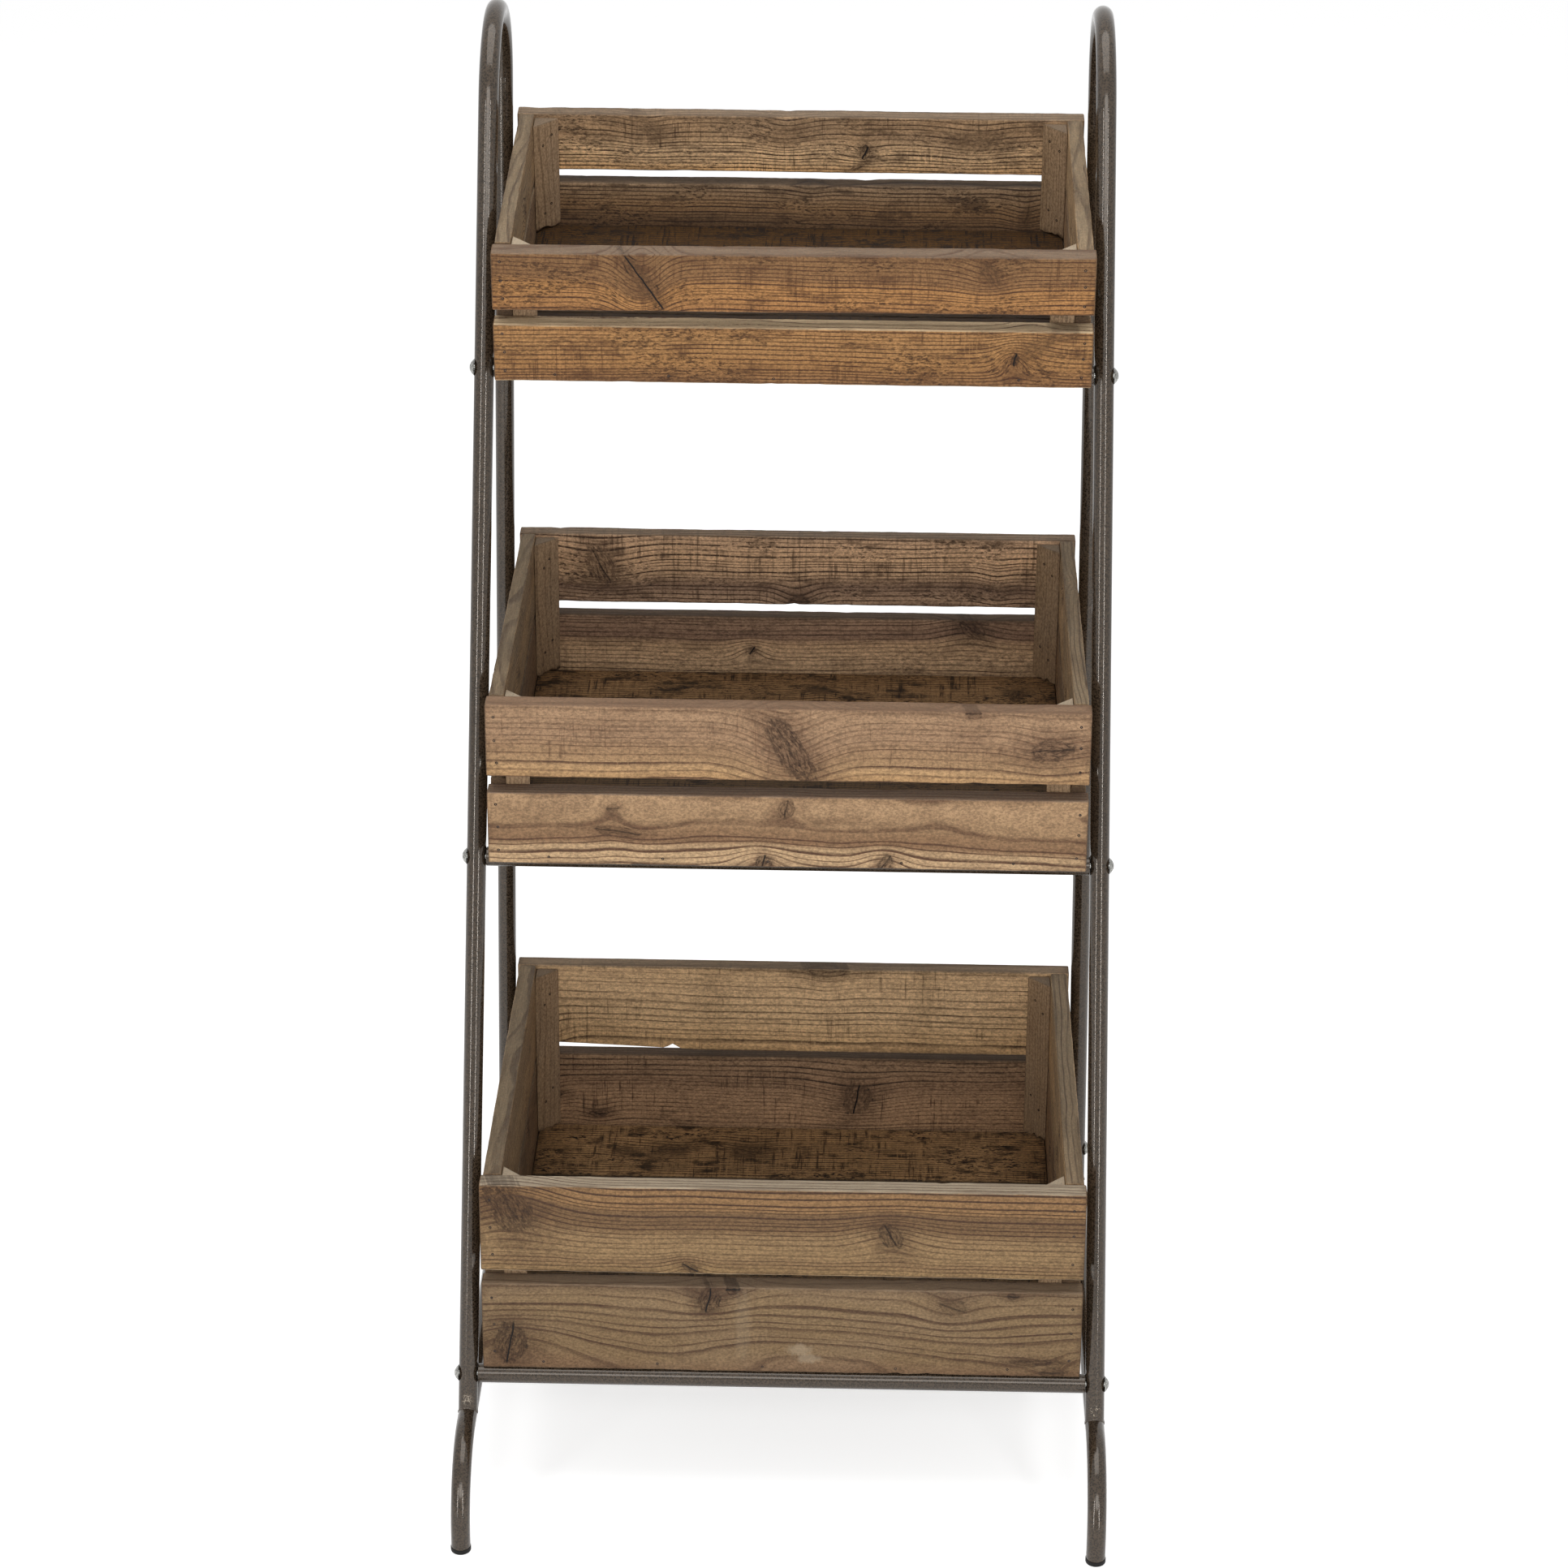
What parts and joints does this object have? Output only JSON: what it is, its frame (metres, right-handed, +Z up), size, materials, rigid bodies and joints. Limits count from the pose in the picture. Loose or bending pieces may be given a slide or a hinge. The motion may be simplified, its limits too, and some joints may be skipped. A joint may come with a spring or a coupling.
{
  "type": "crate display rack",
  "caption": "Free-standing rack of bent steel tube with open wooden crates on cross rails, stepped back towards the top; each crate slides off forwards.",
  "frame": {"origin": "on the floor, midway between the four feet", "axes": "+Z up, +X to the right seen from the front, -Y towards the front, where the crates slide off"},
  "size_m": [0.548, 0.5918, 1.198],
  "materials": {
    "frame_coat": "semi-gloss hammered powder coat",
    "foot_cap": "matt moulded",
    "plug_steel": "plain turned steel",
    "bolt_zinc": "bright zinc plate",
    "wood_top": "rough-sawn, worn, unvarnished",
    "wood_middle": "rough-sawn, worn, unvarnished",
    "wood_bottom": "rough-sawn, worn, unvarnished",
    "post_wood": "rough-sawn, grey on the cut ends",
    "brad_steel": "dull, slightly rusted"
  },
  "bodies": {
    "stand": {"base_tube_left": "frame_coat", "side_frame_left": "frame_coat", "foot_cap_front_left": "foot_cap", "foot_cap_rear_left": "foot_cap", "base_tube_right": "frame_coat", "side_frame_right": "frame_coat", "foot_cap_front_right": "foot_cap", "foot_cap_rear_right": "foot_cap", "rail_top_front": "frame_coat", "rail_top_rear": "frame_coat", "rail_middle_front": "frame_coat", "rail_middle_rear": "frame_coat", "rail_bottom_front": "frame_coat", "rail_bottom_rear": "frame_coat", "rail_end_plugs": "plug_steel", "frame_bolts": "bolt_zinc"},
    "crate_top": {"crate_top_front_lower": "wood_top", "crate_top_front_upper": "wood_top", "crate_top_back_lower": "wood_top", "crate_top_back_upper": "wood_top", "crate_top_left_lower": "wood_top", "crate_top_left_upper": "wood_top", "crate_top_right_lower": "wood_top", "crate_top_right_upper": "wood_top", "crate_top_floor": "wood_top", "crate_top_corner_posts": "post_wood", "crate_top_brads": "brad_steel"},
    "crate_middle": {"crate_middle_front_lower": "wood_middle", "crate_middle_front_upper": "wood_middle", "crate_middle_back_lower": "wood_middle", "crate_middle_back_upper": "wood_middle", "crate_middle_left_lower": "wood_middle", "crate_middle_left_upper": "wood_middle", "crate_middle_right_lower": "wood_middle", "crate_middle_right_upper": "wood_middle", "crate_middle_floor": "wood_middle", "crate_middle_corner_posts": "post_wood", "crate_middle_brads": "brad_steel"},
    "crate_bottom": {"crate_bottom_front_lower": "wood_bottom", "crate_bottom_front_upper": "wood_bottom", "crate_bottom_back_lower": "wood_bottom", "crate_bottom_back_upper": "wood_bottom", "crate_bottom_left_lower": "wood_bottom", "crate_bottom_left_upper": "wood_bottom", "crate_bottom_right_lower": "wood_bottom", "crate_bottom_right_upper": "wood_bottom", "crate_bottom_floor": "wood_bottom", "crate_bottom_corner_posts": "post_wood", "crate_bottom_brads": "brad_steel"}
  },
  "joints": [
    {"name": "crate_top_slide", "type": "slide", "parent": "stand", "child": "crate_top", "axis": [0, -0.9917, -0.1288], "range_m": [0, 0.3]},
    {"name": "crate_middle_slide", "type": "slide", "parent": "stand", "child": "crate_middle", "axis": [0, -0.9996, -0.027], "range_m": [0, 0.4]},
    {"name": "crate_bottom_slide", "type": "slide", "parent": "stand", "child": "crate_bottom", "axis": [0, -1, 0], "range_m": [0, 0.45]}
  ]
}
